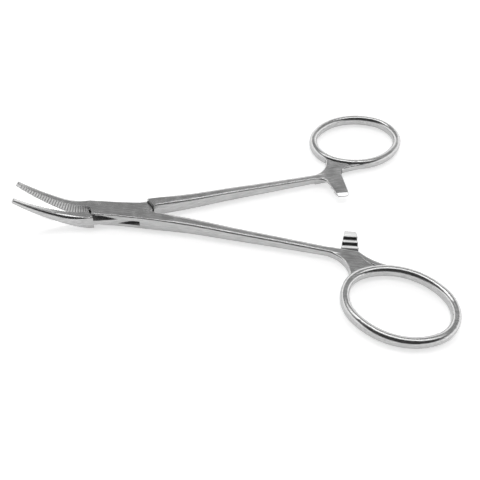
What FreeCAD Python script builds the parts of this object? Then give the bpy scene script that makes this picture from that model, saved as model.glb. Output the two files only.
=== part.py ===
import FreeCAD, Part
import os
from math import atan2, cos, degrees, hypot, radians, sin, sqrt

V = FreeCAD.Vector

# Curved mosquito forceps with a box lock, in millimetres and degrees.
# The origin is on the pivot axis, in the plane that the forceps lies on. +X runs to the finger
# rings, -X to the jaw tips, +Z up. Each half is drawn as it stands with the jaws closed, where the
# centre line is y = 0, and is then turned to the half-open pose in which the forceps lies.
# The box half has its shank at -Y and its jaw at +Y. The inner half has them the other way round.

# Pose
rest_opening = 11.8            # angle between the halves as the forceps lies

# Box lock
box_height = 4.5               # over both cheeks
box_half_width = 3.0           # centre line to the side of the box
box_root_x = 10.8              # pivot to where the shanks begin
cheek_front_side_x = 7.1       # pivot to the cheeks' front edge, at the box's side
cheek_front_crotch_x = 8.45    # pivot to the same edge, at the centre line
cheek_rear_side_x = 8.1        # pivot to the cheeks' rear edge, at the box's side
cheek_rear_crotch_x = 9.6      # pivot to the same edge, at the crotch of the shanks
rear_wall_side_x = 7.1         # pivot to the mortise's rear wall, at the box's side
front_wall_side_x = 6.8        # pivot to the mortise's front wall, at the box's side
mortise_height = 1.7
lock_clearance = 0.05          # tongue to cheek, and pin to tongue
wall_clearance = 0.2           # tongue to the mortise's end walls along X, jaws closed
front_shoulder_gap = 0.28      # cheek to the inner half's shoulder along X, on the jaws' side
rear_shoulder_gap = 0.75       # the same on the shanks' side
edge_round = 0.35              # along the box's and the shanks' upper edges

# Pivot rivet
pin_diameter = 3.0
rivet_head_diameter = 3.8
rivet_head_depth = 0.5

# Shanks
shank_root_width = 3.4
shank_end_width = 2.1
shank_gap = 0.5                # between the shanks at their crotch, jaws closed
shank_bend_x = 19.0            # where the shank turns away from the centre line
shank_bend_y = 2.75            # its middle there
shank_end_x = 66.0
shank_end_y = 9.6
shank_end_height = 2.3
shank_end_lift = 0.4           # its underside there above the rest plane
belly_round = 0.7              # along the lower edges

# Finger rings
ring_centre_x = 80.4
ring_centre_y = 26.5
ring_long_radius = 14.9        # to the middle of the section
ring_short_radius = 11.7
ring_end_radius = 9.9          # of the oval's tighter ends
ring_turn = 12.7               # long axis to the centre line
ring_section_width = 2.55
ring_section_height = 3.3
ring_section_round = 1.15

# Web between shank, ring and ratchet
web_start_x = 62.0             # where it leaves the shank's outer side
web_corner_x = 67.4            # deepest point of the concave corner outside the shank
web_corner_y = 15.8
web_outer_end = 175.3          # where that corner runs out, in degrees round the ring
web_inner_end = 111.4          # where the corner behind the ratchet runs out
web_inner_corner_x = 72.6      # deepest point of that corner
web_inner_corner_y = 12.4
web_round = 0.3

# Ratchet bars
bar_root_x = 65.2              # side towards the box, at the shank
bar_tip_x = 67.3               # the same side at the tip
bar_back_x = 70.9              # side towards the rings
bar_reach = 0.25               # past the centre line, jaws closed
bar_gap = 0.05                 # between the crests of the two bars
bar_corner = 0.9
tooth_start = 2.75             # tip to the first crest
tooth_pitch = 2.25
tooth_depth = 0.6
tooth_count = 3
tooth_face = 0.12              # run of the steep face
bevel_length = 1.3             # on the bar's outer face at the tip
bevel_depth = 0.35

# Jaws
jaw_length = 28.6              # pivot to tip along X
jaw_start_x = 9.0
jaw_first_radius = 18.0        # the jaws curve more tightly beside the box
jaw_first_angle = 24.0
jaw_tip_angle = 40.0
jaw_root_width = 2.85
jaw_back_start = 0.3           # share of the curve over which the box's edges become the jaw's
jaw_tip_width = 1.25
jaw_tip_height = 1.35
jaw_tip_round = 0.35
grip_gap = 0.1                 # between the grip faces, jaws closed
grip_edge_round = 0.12
jaw_back_round = 0.3           # of the jaw's height, at the upper edge
jaw_belly_round = 0.42         # of the jaw's height, at the lower edge
serration_pitch = 0.75
serration_width = 0.6
serration_depth = 0.2
serration_start = 0.6          # plain stretch beside the box
serration_end = 0.7            # plain stretch at the tip


def line(a, b):
    return Part.LineSegment(a, b).toShape()


def arc(a, b, c):
    return Part.Arc(a, b, c).toShape()


def plate(points, low, high):
    corners = [V(x, y, low) for x, y in points]
    face = Part.Face(Part.makePolygon(corners + corners[:1]))
    return face.extrude(V(0, 0, high - low))


def between(start, end, share):
    return start + (end - start) * share


def stretched(a, b, extra):
    """The line from a to b, made longer by extra at both ends."""
    length = hypot(b[0] - a[0], b[1] - a[1])
    dx = (b[0] - a[0]) / length * extra
    dy = (b[1] - a[1]) / length * extra
    return (a[0] - dx, a[1] - dy), (b[0] + dx, b[1] + dy)


def mirrored(shape):
    return shape.mirror(V(0, 0, 0), V(0, 1, 0))


def rounded_section(centre, across, up, width, height, rounds):
    """A rectangle with four rounded corners, starting at its low corner on the inner side."""
    w, h = width / 2, height / 2
    k = 1 - sqrt(0.5)
    corners = [(-w, -h), (w, -h), (w, h), (-w, h)]
    runs = [(1, 0), (0, 1), (-1, 0), (0, -1)]

    def at(corner, back, ahead):
        (x, y), (bx, by), (ax, ay) = corner, back, ahead
        return centre + across * (x + bx + ax) + up * (y + by + ay)

    starts, middles, ends = [], [], []
    for i, r in enumerate(rounds):
        into, out = runs[i - 1], runs[i]
        starts.append(at(corners[i], (-into[0] * r, -into[1] * r), (0, 0)))
        ends.append(at(corners[i], (0, 0), (out[0] * r, out[1] * r)))
        middles.append(at(corners[i], (-into[0] * r * k, -into[1] * r * k),
                          (out[0] * r * k, out[1] * r * k)))
    edges = []
    for i in range(4):
        edges.append(arc(starts[i], middles[i], ends[i]))
        edges.append(line(ends[i], starts[(i + 1) % 4]))
    return Part.Wire(edges)


# The box lock

def rear_wall():
    crotch = (cheek_rear_crotch_x, -shank_gap / 2)
    side = (rear_wall_side_x, -box_half_width)
    return stretched(side, crotch, box_half_width * 2)


def front_wall():
    crotch = (-jaw_start_x, grip_gap / 2)
    side = (-front_wall_side_x, box_half_width)
    return stretched(crotch, side, box_half_width * 2)


def between_walls(clearance):
    """Plan of the mortise, or of the room that the tongue keeps to."""
    near_rear, far_rear = rear_wall()
    near_front, far_front = front_wall()
    return [(near_rear[0] - clearance, near_rear[1]), (far_rear[0] - clearance, far_rear[1]),
            (far_front[0] + clearance, far_front[1]), (near_front[0] + clearance, near_front[1])]


def shank_outer_root():
    return shank_gap / 2 + shank_root_width


def box_blank():
    """The box as one rounded bar, from the jaws' roots to the shanks' roots."""
    stations = [
        (-jaw_start_x, jaw_root_width + grip_gap / 2),
        (0, box_half_width),
        (box_root_x, shank_outer_root()),
    ]
    sections = []
    for x, half_width in stations:
        centre = V(x, 0, box_height / 2)
        sections.append(rounded_section(centre, V(0, -1, 0), V(0, 0, 1), half_width * 2,
                                        box_height, [edge_round] * 4))
    return Part.makeLoft(sections, True, True)


def beyond(side, crotch, end_x):
    """Plan of what lies past the slanted line from the box's side to the crotch, on that side."""
    far_side, far_crotch = stretched(side, crotch, box_half_width)
    wide = far_side[1]
    return [far_side, crotch, (end_x, crotch[1]), (end_x, wide)]


def pivot_rivet():
    shaft = Part.makeCylinder(pin_diameter / 2, box_height)
    wide, narrow = rivet_head_diameter / 2, pin_diameter / 2
    low = Part.makeCone(wide, narrow, rivet_head_depth)
    high = Part.makeCone(narrow, wide, rivet_head_depth, V(0, 0, box_height - rivet_head_depth))
    return shaft.fuse([low, high]).removeSplitter()


def box_with_mortise():
    front = beyond((-cheek_front_side_x, -box_half_width), (-cheek_front_crotch_x, grip_gap / 2),
                   -jaw_start_x * 2)
    rear = beyond((cheek_rear_side_x, box_half_width), (cheek_rear_crotch_x, -shank_gap / 2),
                  box_root_x * 2)
    low = (box_height - mortise_height) / 2
    mortise = plate(between_walls(0), low, low + mortise_height)
    notches = [plate(front, 0, box_height), plate(rear, 0, box_height)]
    return box_blank().cut(notches + [mortise, pivot_rivet()])


def tongue_with_roots():
    """The inner half's share of the lock, with its shank at +Y and its jaw at -Y."""
    front = beyond((-cheek_front_side_x - front_shoulder_gap, -box_half_width),
                   (-cheek_front_crotch_x - front_shoulder_gap, -grip_gap / 2),
                   -jaw_start_x * 2)
    rear = beyond((cheek_rear_side_x + rear_shoulder_gap, box_half_width),
                  (cheek_rear_crotch_x + rear_shoulder_gap, shank_gap / 2),
                  box_root_x * 2)
    roots = [box_blank().common(plate(points, 0, box_height)) for points in (front, rear)]
    low = (box_height - mortise_height) / 2 + lock_clearance
    high = box_height - low
    inside = plate(between_walls(wall_clearance), low, high)
    hole = Part.makeCylinder(pin_diameter / 2 + lock_clearance, box_height)
    tongue = box_blank().common(inside).cut(hole)
    return tongue.fuse(roots)


# Shank, ring, web and ratchet, all for the half with its shank at -Y

def shank_middle(x):
    root_y = shank_gap / 2 + shank_root_width / 2
    if x < shank_bend_x:
        return between(root_y, shank_bend_y, (x - box_root_x) / (shank_bend_x - box_root_x))
    return between(shank_bend_y, shank_end_y, (x - shank_bend_x) / (shank_end_x - shank_bend_x))


def shank_share(x):
    return (x - box_root_x) / (shank_end_x - box_root_x)


def shank_width(x):
    return shank_end_width + (shank_root_width - shank_end_width) * (1 - shank_share(x)) ** 2


def shank_section(x):
    low = between(0, shank_end_lift, shank_share(x))
    high = between(box_height, shank_end_lift + shank_end_height, shank_share(x))
    centre = V(x, -shank_middle(x), (low + high) / 2)
    belly = between(edge_round, belly_round, min(1, shank_share(x) * 4))
    rounds = (belly, belly, edge_round, edge_round)
    return rounded_section(centre, V(0, -1, 0), V(0, 0, 1), shank_width(x), high - low, rounds)


def shank():
    stations = [box_root_x, between(box_root_x, shank_bend_x, 0.5), shank_bend_x]
    stations += [between(shank_bend_x, shank_end_x, i / 4) for i in range(1, 5)]
    return Part.makeLoft([shank_section(x) for x in stations], True, False)


def ring_placement():
    spot = V(ring_centre_x, -ring_centre_y, 0)
    return FreeCAD.Placement(spot, FreeCAD.Rotation(V(0, 0, 1), -ring_turn))


def ring_arc(centre_x, centre_y, radius, start, sweep):
    """Part of the ring, turned about the centre of one of the oval's four arcs."""
    middle = V(radius, 0, ring_section_height / 2)
    section = rounded_section(middle, V(1, 0, 0), V(0, 0, 1), ring_section_width,
                              ring_section_height, [ring_section_round] * 4)
    piece = Part.Face(section).revolve(V(0, 0, 0), V(0, 0, 1), sweep)
    piece.rotate(V(0, 0, 0), V(0, 0, 1), start)
    piece.translate(V(centre_x, centre_y, 0))
    return piece


def ring():
    end = ring_end_radius
    out = ring_long_radius - end
    side = (out ** 2 + ring_short_radius ** 2 - end ** 2) / (ring_short_radius - end) / 2
    back = side - ring_short_radius
    half = degrees(atan2(back, out))
    pieces = [
        ring_arc(out, 0, end, -half, half * 2),
        ring_arc(0, -back, side, half, 180 - half * 2),
        ring_arc(-out, 0, end, 180 - half, half * 2),
        ring_arc(0, back, side, 180 + half, 180 - half * 2),
    ]
    tube = pieces[0].fuse(pieces[1:])
    tube.Placement = ring_placement()
    return tube


def ring_hole(low, high):
    edge = Part.Ellipse(V(0, 0, low), ring_long_radius, ring_short_radius).toShape()
    hole = Part.Face(Part.Wire(edge)).extrude(V(0, 0, high - low))
    hole.Placement = ring_placement()
    return hole


def on_ring(angle, z):
    """Point of the ring's middle line, at an angle round it from its outer end."""
    u = radians(angle)
    spot = V(ring_long_radius * cos(u), ring_short_radius * sin(u), z)
    return ring_placement().multVec(spot)


def web():
    low, high = shank_end_lift, shank_end_lift + shank_end_height

    def at(x, y):
        return V(x, y, low)

    outer_start = at(web_start_x, -shank_middle(web_start_x) - shank_end_width / 2)
    outer_end = on_ring(web_outer_end, low)
    inner_start = at(bar_back_x, -shank_middle(bar_back_x) + shank_end_width / 2)
    inner_end = on_ring(web_inner_end, low)
    middle = at(ring_centre_x, -ring_centre_y)
    shank_inner = at(web_start_x, -shank_middle(web_start_x) + shank_end_width / 2)
    edges = [
        arc(outer_start, at(web_corner_x, -web_corner_y), outer_end),
        line(outer_end, middle),
        line(middle, inner_end),
        arc(inner_end, at(web_inner_corner_x, -web_inner_corner_y), inner_start),
        line(inner_start, shank_inner),
        line(shank_inner, outer_start),
    ]
    sheet = Part.Face(Part.Wire(edges)).extrude(V(0, 0, high - low))
    sheet = sheet.cut(ring_hole(low, high))
    arcs = [e for e in sheet.Edges if isinstance(e.Curve, Part.Circle)]
    return sheet.makeFillet(web_round, arcs)


def ratchet_bar():
    """The lower bar, with its teeth upwards."""
    low, crest = shank_end_lift, shank_end_lift + shank_end_height / 2 - bar_gap / 2
    root_y = -shank_middle(bar_root_x)
    outline = [(bar_root_x, root_y), (bar_back_x, root_y), (bar_back_x, bar_reach),
               (bar_tip_x, bar_reach)]
    bar = plate(outline, low, crest)
    corners = []
    for edge in bar.Edges:
        a, b = edge.Vertexes[0].Point, edge.Vertexes[-1].Point
        upright = hypot(a.x - b.x, a.y - b.y) < 0.01
        if upright and a.x > bar_back_x - 0.01 and a.y > 0:
            corners.append(edge)
    bar = bar.makeFillet(bar_corner, corners)
    valley = crest - tooth_depth
    profile = [(bar_reach, low + bevel_depth), (bar_reach, valley)]
    for i in range(tooth_count):
        y = bar_reach - tooth_start - i * tooth_pitch
        profile += [(y, crest), (y - tooth_face, valley)]
    profile += [(root_y, valley), (root_y, low), (bar_reach - bevel_length, low)]
    corners = [V(bar_root_x, y, z) for y, z in profile]
    teeth = Part.Face(Part.makePolygon(corners + corners[:1]))
    return bar.common(teeth.extrude(V(bar_back_x - bar_root_x, 0, 0)))


def turned_over(bar):
    """The upper bar is the lower one turned over about the centre line, teeth downwards."""
    middle = shank_end_lift + shank_end_height / 2
    bar = bar.copy()
    bar.rotate(V(0, 0, middle), V(1, 0, 0), 180)
    return bar


# The jaws, for the half with its jaw at +Y

def jaw_second_radius():
    first_end = jaw_start_x + jaw_first_radius * sin(radians(jaw_first_angle))
    return (jaw_length - first_end) / (sin(radians(jaw_tip_angle)) - sin(radians(jaw_first_angle)))


def jaw_body_length():
    """Along the curve, without the rounded nose."""
    first = jaw_first_radius * radians(jaw_first_angle)
    second = jaw_second_radius() * radians(jaw_tip_angle - jaw_first_angle)
    return first + second - jaw_tip_round


def jaw_frame(distance):
    """Middle of the jaw at a distance along its curve, and its direction there."""
    first = radians(jaw_first_angle)
    turn = min(distance / jaw_first_radius, first)
    x = -jaw_start_x - jaw_first_radius * sin(turn)
    z = box_height / 2 + jaw_first_radius * (1 - cos(turn))
    beyond = distance - jaw_first_radius * first
    if beyond > 0:
        radius = jaw_second_radius()
        turn = first + beyond / radius
        x -= radius * (sin(turn) - sin(first))
        z += radius * (cos(first) - cos(turn))
    return V(x, 0, z), turn


def jaw_section(distance, shrink=1.0):
    share = min(1, distance / jaw_body_length())
    width = between(jaw_root_width, jaw_tip_width, share)
    height = between(box_height, jaw_tip_height, share)
    spot, turn = jaw_frame(distance)
    centre = spot + V(0, grip_gap / 2 + width / 2, 0)
    up = V(sin(turn), 0, cos(turn))
    blend = min(1, share / jaw_back_start)
    belly = between(edge_round, height * jaw_belly_round, blend)
    back = between(edge_round, height * jaw_back_round, blend)
    rounds = [r * shrink for r in (grip_edge_round, belly, back, grip_edge_round)]
    return rounded_section(centre, V(0, 1, 0), up, width * shrink, height * shrink, rounds)


def serration(distance):
    spot, turn = jaw_frame(distance)
    up = V(sin(turn), 0, cos(turn))
    ahead = V(-cos(turn), 0, sin(turn))
    face = spot + V(0, grip_gap / 2, 0) - up * box_height
    half = ahead * (serration_width / 2)
    lead = V(0, serration_depth, 0)
    corners = [face - half - lead, face + half - lead, face + half, face + lead, face - half]
    groove = Part.Face(Part.makePolygon(corners + corners[:1]))
    return groove.extrude(up * (box_height * 2))


def jaw_tip():
    """The nose of the jaw, rounded off in steps of a quarter circle."""
    body = jaw_body_length()
    sections = []
    for i in range(4):
        turn = radians(25 * i)
        shrink = 1 - (1 - cos(turn)) * jaw_tip_round * 2 / jaw_tip_height
        sections.append(jaw_section(body + jaw_tip_round * sin(turn), shrink))
    return Part.makeLoft(sections, True, True)


def jaw():
    body = jaw_body_length()
    blade = Part.makeLoft([jaw_section(body * i / 6) for i in range(7)], True, False)
    count = int((body - serration_start - serration_end) / serration_pitch)
    grooves = [serration(serration_start + serration_pitch * (i + 0.5)) for i in range(count)]
    return blade.fuse(jaw_tip()).cut(grooves)


def turned(shape, angle):
    shape = shape.copy()
    shape.rotate(V(0, 0, 0), V(0, 0, 1), angle)
    return shape


def save(shape, name):
    print(name, "solids", len(shape.Solids), "valid", shape.isValid(), "volume",
          round(shape.Volume, 2))
    shape.exportStep("parts/" + name + ".step")


os.makedirs("parts", exist_ok=True)
handle = [shank(), ring(), web()]
bar = ratchet_bar()
blade = jaw()
box_half = box_with_mortise().fuse(handle + [bar, blade]).removeSplitter()
inner_half = tongue_with_roots().fuse([mirrored(s) for s in handle + [blade]])
inner_half = inner_half.fuse(turned_over(bar)).removeSplitter()
save(turned(box_half, -rest_opening / 2), "box_half")
save(turned(inner_half, rest_opening / 2), "inner_half")
save(turned(pivot_rivet(), -rest_opening / 2), "pivot_pin")
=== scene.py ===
from math import atan2, cos, hypot, pi, radians, sin

import bmesh
import bpy
from mathutils import Matrix, Vector


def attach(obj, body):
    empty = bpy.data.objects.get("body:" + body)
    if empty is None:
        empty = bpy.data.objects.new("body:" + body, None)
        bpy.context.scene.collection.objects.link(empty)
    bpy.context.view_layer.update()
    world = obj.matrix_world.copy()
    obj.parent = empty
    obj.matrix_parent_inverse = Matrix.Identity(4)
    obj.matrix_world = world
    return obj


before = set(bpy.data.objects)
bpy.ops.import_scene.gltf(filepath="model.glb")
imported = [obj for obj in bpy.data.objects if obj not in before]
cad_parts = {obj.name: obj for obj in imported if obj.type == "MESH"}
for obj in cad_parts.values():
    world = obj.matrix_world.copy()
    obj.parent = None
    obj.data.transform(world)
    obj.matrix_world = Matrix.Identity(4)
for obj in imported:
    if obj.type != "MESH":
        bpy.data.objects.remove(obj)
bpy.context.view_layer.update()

mm = 0.001
print("frame loaded:", sorted(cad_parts))


# small helpers

def linearColor(hexText):
    # sRGB hex to the linear values that Blender works in
    def channel(pair):
        c = int(pair, 16) / 255
        return c / 12.92 if c <= 0.04045 else ((c + 0.055) / 1.055) ** 2.4
    return tuple(channel(hexText[i:i + 2]) for i in (0, 2, 4)) + (1,)


def addNode(tree, kind, settings=None, **links):
    # a node with its settings; links give an input's name or number a value or another node's output
    node = tree.nodes.new(kind)
    for name, value in (settings or {}).items():
        setattr(node, name, value)
    for name, value in links.items():
        key = int(name[2:]) if name.startswith("in") and name[2:].isdigit() else name.replace("_", " ")
        if isinstance(value, bpy.types.NodeSocket):
            tree.links.new(value, node.inputs[key])
        else:
            node.inputs[key].default_value = value
    return node


def newMaterial(name):
    material = bpy.data.materials.new(name)
    material.use_nodes = True
    material.node_tree.nodes.clear()
    return material, material.node_tree


def setStops(ramp, stops):
    # places and grey levels of a colour ramp
    while len(ramp.elements) < len(stops):
        ramp.elements.new(0.5)
    for element, (place, level) in zip(ramp.elements, stops):
        element.position = place
        element.color = (level, level, level, 1)


# camera, as the photograph was taken: from above the near side, with a slight roll

cameraView = {
    "target": (35.66, -8.96, 0.0),   # mm, the middle of the frame on the floor
    "distance": 182.52,              # mm
    "azimuth": -5.26,                # degrees from straight in front
    "elevation": 47.65,
    "roll": 3.26,
    "lens": 46.605,                  # mm, on a sensor of the next size
    "sensor": 36,
    "nearest": 5,                    # mm, what is seen at all
    "farthest": 20000,
}


def makeCamera():
    v = cameraView
    az, el, roll = radians(v["azimuth"]), radians(v["elevation"]), radians(v["roll"])
    back = Vector((sin(az) * cos(el), -cos(az) * cos(el), sin(el)))
    right = (-back).cross(Vector((0, 0, 1))).normalized()
    up = right.cross(-back)
    rolledRight = right * cos(roll) + up * sin(roll)
    rolledUp = up * cos(roll) - right * sin(roll)
    eye = Vector(v["target"]) * mm + back * v["distance"] * mm
    data = bpy.data.cameras.new("camera")
    data.lens = v["lens"]
    data.sensor_width = v["sensor"]
    data.clip_start = v["nearest"] * mm
    data.clip_end = v["farthest"] * mm
    camera = bpy.data.objects.new("camera", data)
    bpy.context.scene.collection.objects.link(camera)
    turn = Matrix((rolledRight, rolledUp, back)).transposed().to_4x4()
    camera.matrix_world = Matrix.Translation(eye) @ turn
    bpy.context.scene.camera = camera
    return back


# floor and light

studio = {
    "floorColor": "F4F4F4",
    "floorLift": 0.53,               # keeps the floor white, seen or mirrored, where nothing shades it
    "floorRadius": 2500,             # mm
    "floorSteps": 96,
    "floorDrop": 0.02,               # mm below the forceps, so that the two don't share a plane
    "sweepGlow": 1.6,                # the pale sweep behind the table
    "sweepTop": 0.52,                # sine of its height above the horizon
    "sweepBlend": 0.08,              # over which it turns into the room
    "roomGrey": 0.36,                # the room above it, which the top faces show
    "softboxGlow": 3.0,              # straight above
    "softboxEdge": 0.87,             # sine of its height above the horizon
    "softboxBlend": 0.02,            # either side of that edge
    "cameraDark": 0.07,              # the darker side of the room, behind the camera
    "cameraDarkEdge": 0.62,          # cosine of its half width
    "cameraDarkBlend": 0.12,         # either side of that edge
}


def makeFloor():
    material, tree = newMaterial("white paper, matt")
    # even and dull, so only the soft contact shadows show on it
    paper = addNode(tree, "ShaderNodeBsdfDiffuse", Color=linearColor(studio["floorColor"]))
    ray = addNode(tree, "ShaderNodeLightPath")
    seen = addNode(tree, "ShaderNodeMath", {"operation": "MAXIMUM"},
                   in0=ray.outputs["Is Camera Ray"], in1=ray.outputs["Is Glossy Ray"])
    lift = addNode(tree, "ShaderNodeMath", {"operation": "MULTIPLY"},
                   in0=seen.outputs["Value"], in1=studio["floorLift"])
    glow = addNode(tree, "ShaderNodeEmission", Strength=lift.outputs["Value"])
    both = addNode(tree, "ShaderNodeAddShader", in0=paper.outputs["BSDF"],
                   in1=glow.outputs["Emission"])
    addNode(tree, "ShaderNodeOutputMaterial", Surface=both.outputs["Shader"])
    bpy.ops.mesh.primitive_circle_add(vertices=studio["floorSteps"],
                                      radius=studio["floorRadius"] * mm, fill_type="NGON",
                                      location=(0, 0, -studio["floorDrop"] * mm))
    floor = bpy.context.object
    floor.name = "floor"
    floor.data.materials.append(material)


def makeWorld(cameraSide):
    s = studio
    world = bpy.data.worlds.new("studio")
    bpy.context.scene.world = world
    world.use_nodes = True
    tree = world.node_tree
    tree.nodes.clear()
    where = addNode(tree, "ShaderNodeTexCoord")
    direction = addNode(tree, "ShaderNodeVectorMath", {"operation": "NORMALIZE"},
                        in0=where.outputs["Generated"])
    parts = addNode(tree, "ShaderNodeSeparateXYZ", Vector=direction.outputs["Vector"])
    room = addNode(tree, "ShaderNodeValToRGB", Fac=parts.outputs["Z"])
    setStops(room.color_ramp, [
        (0.0, s["sweepGlow"]),
        (s["sweepTop"], s["sweepGlow"]),
        (s["sweepTop"] + s["sweepBlend"], s["roomGrey"]),
        (s["softboxEdge"] - s["softboxBlend"], s["roomGrey"]),
        (s["softboxEdge"] + s["softboxBlend"], s["softboxGlow"]),
    ])
    facing = addNode(tree, "ShaderNodeVectorMath", {"operation": "DOT_PRODUCT"},
                     in0=direction.outputs["Vector"], in1=cameraSide)
    near = addNode(tree, "ShaderNodeMapRange", {"interpolation_type": "SMOOTHSTEP"},
                   Value=facing.outputs["Value"],
                   From_Min=s["cameraDarkEdge"] - s["cameraDarkBlend"],
                   From_Max=s["cameraDarkEdge"] + s["cameraDarkBlend"])
    dark = s["cameraDark"]
    # inputs 6 and 7 are the two colours that this kind of mix takes
    mixed = addNode(tree, "ShaderNodeMix", {"data_type": "RGBA"}, Factor=near.outputs["Result"],
                    in6=room.outputs["Color"], in7=(dark, dark, dark, 1))
    light = addNode(tree, "ShaderNodeBackground", Color=mixed.outputs[2], Strength=1.0)
    addNode(tree, "ShaderNodeOutputWorld", Surface=light.outputs["Background"])


# stainless steel

steel = {
    "color": "C8C8C8",               # polished stainless steel reflects about 57 percent, neutral grey
    "roughness": 0.16,
    "roughnessChange": 0.10,         # between well and poorly polished spots
    "wave": 2.6,                     # mm, hand polishing leaves shallow waves of about this size
    "waveDepth": 0.020,              # mm
    "waveDetail": 2.0,
    "streakTurn": 10.0,              # degrees off the centre line, as the shanks lie
    "streakLength": 5.0,             # mm, polishing lines along each half
    "streakWidth": 0.32,             # mm; the real ones are about 0.05 mm, too fine to show from here
    "streakDepth": 0.0012,           # mm
    "streakDetail": 3.0,
    "streakBreakUp": 0.6,
    "streakTone": 0.30,              # how much darker the dull lines reflect
    "noiseSpan": (0.3, 0.7),         # the part of either pattern's values that is used
    # mm from the pivot, and mm of rounding there: the jaws and the lock keep their modelled edges
    "edgeRounds": [(12.0, 0.0), (17.0, 1.0), (58.0, 1.0), (63.0, 0.32)],
    "edgeSamples": 8,
    # painted shade: ambient occlusion darkens the steel's colour in seams, grooves and tight corners
    "seamReach": 0.5,                # mm, how far the painted shade in seams and grooves reaches
    "seamSpan": (0.55, 0.95),        # open share at which the painted shade is darkest, and at which it ends
    "seamTone": 0.12,                # what the painted shade leaves of the reflection deep in them
    "seamSamples": 8,
}


def makeSteel(name, alongAngle):
    # forged, ground and satin-polished by hand: nearly a mirror, with wobbling reflections
    s = steel
    material, tree = newMaterial(name)
    where = addNode(tree, "ShaderNodeTexCoord")
    along = addNode(tree, "ShaderNodeMapping", Vector=where.outputs["Object"],
                    Rotation=(0, 0, radians(-alongAngle)))
    # polishing lines run along the piece, so the pattern is stretched that way
    across = 1 / (s["streakWidth"] * mm)
    stretched = addNode(tree, "ShaderNodeVectorMath", {"operation": "MULTIPLY"},
                        in0=along.outputs["Vector"],
                        in1=(1 / (s["streakLength"] * mm), across, across))
    streaks = addNode(tree, "ShaderNodeTexNoise", Vector=stretched.outputs["Vector"], Scale=1.0,
                      Detail=s["streakDetail"], Roughness=s["streakBreakUp"])
    waves = addNode(tree, "ShaderNodeTexNoise", Vector=where.outputs["Object"],
                    Scale=1 / (s["wave"] * mm), Detail=s["waveDetail"])
    # tumbled edges, from a rounding that changes along the forceps
    place = addNode(tree, "ShaderNodeSeparateXYZ", Vector=where.outputs["Object"])
    reach, largest = s["edgeRounds"][-1][0], max(r for x, r in s["edgeRounds"])
    share = addNode(tree, "ShaderNodeMapRange", Value=place.outputs["X"], From_Min=0.0,
                    From_Max=reach * mm)
    rounds = addNode(tree, "ShaderNodeValToRGB", Fac=share.outputs["Result"])
    setStops(rounds.color_ramp, [(x / reach, r / largest) for x, r in s["edgeRounds"]])
    rounding = addNode(tree, "ShaderNodeMath", {"operation": "MULTIPLY"},
                       in0=rounds.outputs["Color"], in1=largest * mm)
    edges = addNode(tree, "ShaderNodeBevel", {"samples": s["edgeSamples"]},
                    Radius=rounding.outputs["Value"])
    waveBump = addNode(tree, "ShaderNodeBump", Height=waves.outputs["Fac"], Strength=1.0,
                       Distance=s["waveDepth"] * mm, Normal=edges.outputs["Normal"])
    streakBump = addNode(tree, "ShaderNodeBump", Height=streaks.outputs["Fac"], Strength=1.0,
                         Distance=s["streakDepth"] * mm, Normal=waveBump.outputs["Normal"])
    low, high = s["noiseSpan"]
    tone = addNode(tree, "ShaderNodeMapRange", Value=streaks.outputs["Fac"], From_Min=low,
                   From_Max=high, To_Min=1 - s["streakTone"], To_Max=1.0)
    # painted shade: ambient occlusion darkens the colour in the grooves between the teeth, the seams
    # of the lock and other tight corners
    occlusion = addNode(tree, "ShaderNodeAmbientOcclusion",
                    {"samples": s["seamSamples"], "only_local": True},
                    Distance=s["seamReach"] * mm)
    shade = addNode(tree, "ShaderNodeMapRange", Value=occlusion.outputs["AO"],
                    From_Min=s["seamSpan"][0], From_Max=s["seamSpan"][1],
                    To_Min=s["seamTone"], To_Max=1.0)
    both = addNode(tree, "ShaderNodeMath", {"operation": "MULTIPLY"},
                   in0=tone.outputs["Result"], in1=shade.outputs["Result"])
    color = addNode(tree, "ShaderNodeVectorMath", {"operation": "SCALE"},
                    in0=linearColor(s["color"])[:3], Scale=both.outputs["Value"])
    polish = addNode(tree, "ShaderNodeMapRange", Value=waves.outputs["Fac"], From_Min=low,
                     From_Max=high, To_Min=s["roughness"],
                     To_Max=s["roughness"] + s["roughnessChange"])
    surface = addNode(tree, "ShaderNodeBsdfPrincipled", Base_Color=color.outputs["Vector"],
                      Metallic=1.0, Roughness=polish.outputs["Result"],
                      Normal=streakBump.outputs["Normal"])
    addNode(tree, "ShaderNodeOutputMaterial", Surface=surface.outputs["BSDF"])
    return material


def dressNodes():
    boxSteel = makeSteel("stainless steel, polished along the box half", -steel["streakTurn"])
    innerSteel = makeSteel("stainless steel, polished along the inner half", steel["streakTurn"])
    wear = {"box_half": boxSteel, "pivot_pin": boxSteel, "inner_half": innerSteel}
    for node, material in wear.items():
        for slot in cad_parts[node].material_slots:
            slot.material = material
    return wear


# fillets in the corners of the webs and at the upper ratchet bar

webFills = {
    "restOpening": 11.8,             # degrees between the halves as the forceps lies
    "top": 2.69,                     # mm above the floor, just under the webs' flat top
    "edgeRound": 0.5,                # mm
    "roundSteps": 4,
    "hollowSteps": 14,               # along each hollow edge
    "sharpAngle": 40,                # degrees, joins that are flatter look smooth
    # Plans are in mm from the pivot with the jaws closed, for the half with its shank at -Y.
    # The hollow edge is an arc through three points, and the inside is buried in the forging.
    "pieces": {
        "web_corner_box_half": {
            "body": "box_half",
            "low": 0.45,             # mm above the floor
            "hollow": [(70.8, -8.9), (75.05, -12.0), (80.3, -13.4)],
            "inside": [(80.0, -14.4), (77.0, -14.6), (72.0, -12.6), (70.3, -9.7)],
        },
        "web_corner_inner_half": {
            "body": "inner_half",
            "low": 0.45,
            "hollow": [(70.85, -11.5), (75.6, -12.75), (80.3, -13.4)],
            "inside": [(80.0, -14.4), (77.0, -14.6), (72.0, -12.6), (70.3, -9.7), (70.85, -9.2)],
        },
        "bar_corner_inner_half": {
            "body": "inner_half",
            "low": 1.62,
            "hollow": [(62.8, -8.1), (65.0, -7.2), (66.05, -5.6)],
            "inside": [(66.5, -6.5), (66.0, -9.0), (63.5, -8.9)],
        },
    },
}


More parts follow.
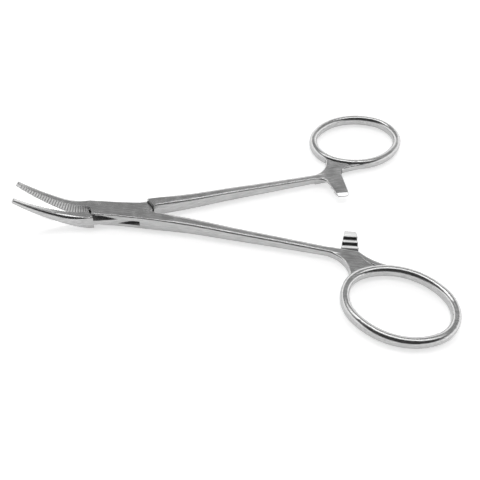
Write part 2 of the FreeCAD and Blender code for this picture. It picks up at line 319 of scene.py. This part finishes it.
def arcPoints(start, through, end, steps):
    # points on the circle through three points of the plan
    ax, ay, bx, by, cx, cy = *start, *through, *end
    d = 2 * (ax * (by - cy) + bx * (cy - ay) + cx * (ay - by))
    a2, b2, c2 = ax * ax + ay * ay, bx * bx + by * by, cx * cx + cy * cy
    ux = (a2 * (by - cy) + b2 * (cy - ay) + c2 * (ay - by)) / d
    uy = (a2 * (cx - bx) + b2 * (ax - cx) + c2 * (bx - ax)) / d
    radius = hypot(ax - ux, ay - uy)
    first, last = atan2(ay - uy, ax - ux), atan2(cy - uy, cx - ux)
    turn = (last - first + pi) % (2 * pi) - pi
    angles = [first + turn * i / steps for i in range(steps + 1)]
    return [(ux + radius * cos(a), uy + radius * sin(a)) for a in angles]


def makeFill(name, shape, material):
    # a flat piece with one hollow, rounded edge
    f = webFills
    body = shape["body"]
    side = 1 if body == "box_half" else -1
    turn = Matrix.Rotation(radians(-side * f["restOpening"] / 2), 4, "Z")
    edge = arcPoints(*shape["hollow"], f["hollowSteps"])
    plan = [turn @ Vector((x * mm, side * y * mm, 0)) for x, y in edge + shape["inside"]]
    mesh = bmesh.new()
    base = [mesh.verts.new((p.x, p.y, shape["low"] * mm)) for p in plan]
    lid = [mesh.verts.new((p.x, p.y, f["top"] * mm)) for p in plan]
    mesh.faces.new(base)
    mesh.faces.new(lid)
    count = len(plan)
    for i in range(count):
        j = (i + 1) % count
        mesh.faces.new((base[i], base[j], lid[j], lid[i]))
    bmesh.ops.recalc_face_normals(mesh, faces=mesh.faces)
    rim = [mesh.edges.get((ring[i], ring[i + 1])) for ring in (base, lid)
           for i in range(len(edge) - 1)]
    bmesh.ops.bevel(mesh, geom=rim, offset=f["edgeRound"] * mm, segments=f["roundSteps"],
                    profile=0.5, affect="EDGES")
    data = bpy.data.meshes.new(name)
    mesh.to_mesh(data)
    mesh.free()
    data.materials.append(material)
    data.shade_smooth()
    data.set_sharp_from_angle(angle=radians(f["sharpAngle"]))
    piece = bpy.data.objects.new(name, data)
    bpy.context.scene.collection.objects.link(piece)
    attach(piece, body)


towardsCamera = makeCamera()
makeFloor()
makeWorld(towardsCamera)
print("camera, floor and light made")
steels = dressNodes()
print("steel given to every node")
for name, shape in webFills["pieces"].items():
    makeFill(name, shape, steels[shape["body"]])
print("corners filled:", len(webFills["pieces"]))

bpy.context.scene.view_settings.view_transform = "Standard"
